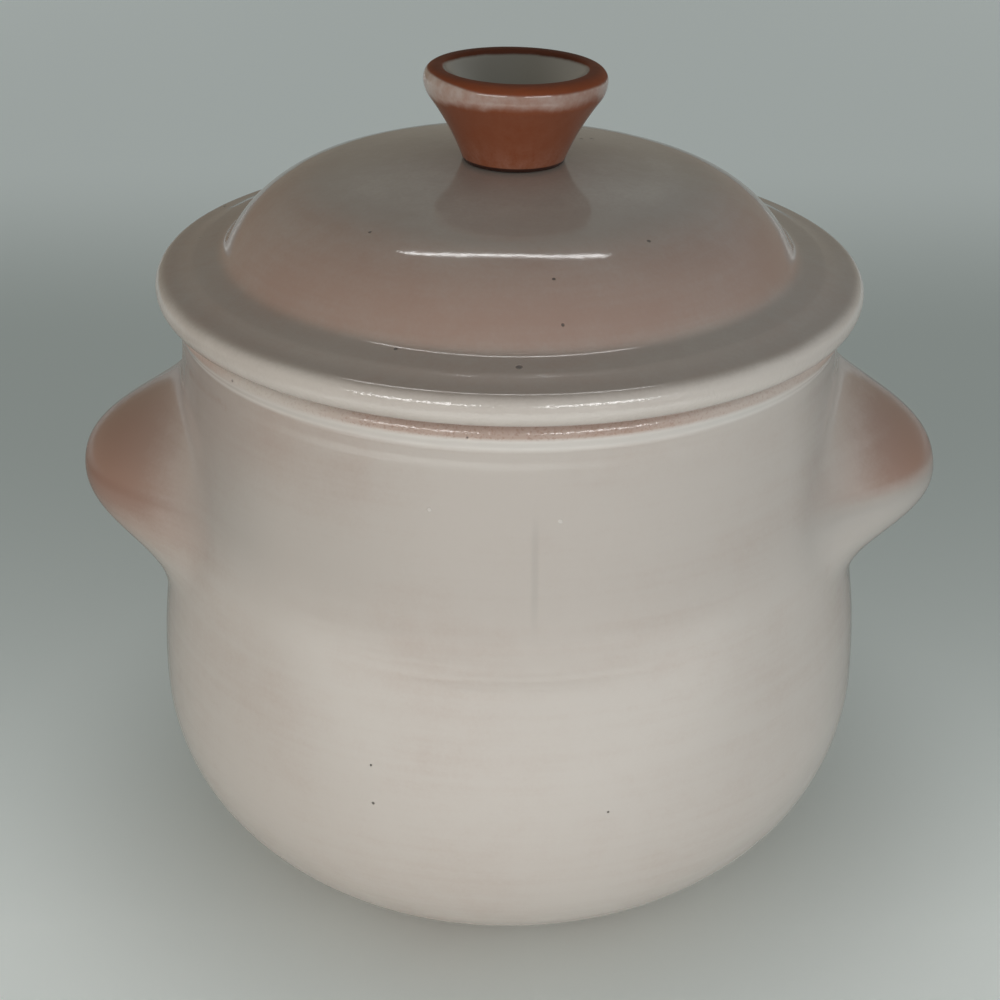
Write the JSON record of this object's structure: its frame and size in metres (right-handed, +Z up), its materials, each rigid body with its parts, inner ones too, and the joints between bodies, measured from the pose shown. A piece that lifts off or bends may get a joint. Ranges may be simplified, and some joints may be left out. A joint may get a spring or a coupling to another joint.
{
  "type": "clay dutch oven",
  "caption": "Round-bellied glazed clay pot with lug ears and a loose domed lid with a hollow flared knob. A ring under the lid drops into the mouth, and the lid lifts straight off.",
  "frame": {"origin": "centre of the flat base, on the surface that the pot stands on", "axes": "+Z up along the pot's axis, +X towards the right ear, +Y away from the viewer"},
  "size_m": [0.2514, 0.21, 0.2377],
  "materials": {
    "pot_glaze": "glossy, slightly see-through white glaze over pink clay",
    "ear_glaze": "glossy glaze worn thin at the tips, with the clay showing through",
    "lid_glaze": "glossy, slightly see-through white glaze over pink clay",
    "knob_clay": "satin bare terracotta, glazed white inside and in a band under the rim"
  },
  "bodies": {
    "pot": {"pot_body": "pot_glaze", "left_ear": "ear_glaze", "right_ear": "ear_glaze"},
    "lid": {"lid_shell": "lid_glaze", "lid_ring": "lid_glaze", "lid_knob": "knob_clay"}
  },
  "joints": [
    {"name": "lid_lift", "type": "slide", "parent": "pot", "child": "lid", "axis": [0, 0, 1], "range_m": [0, 0.2]}
  ]
}
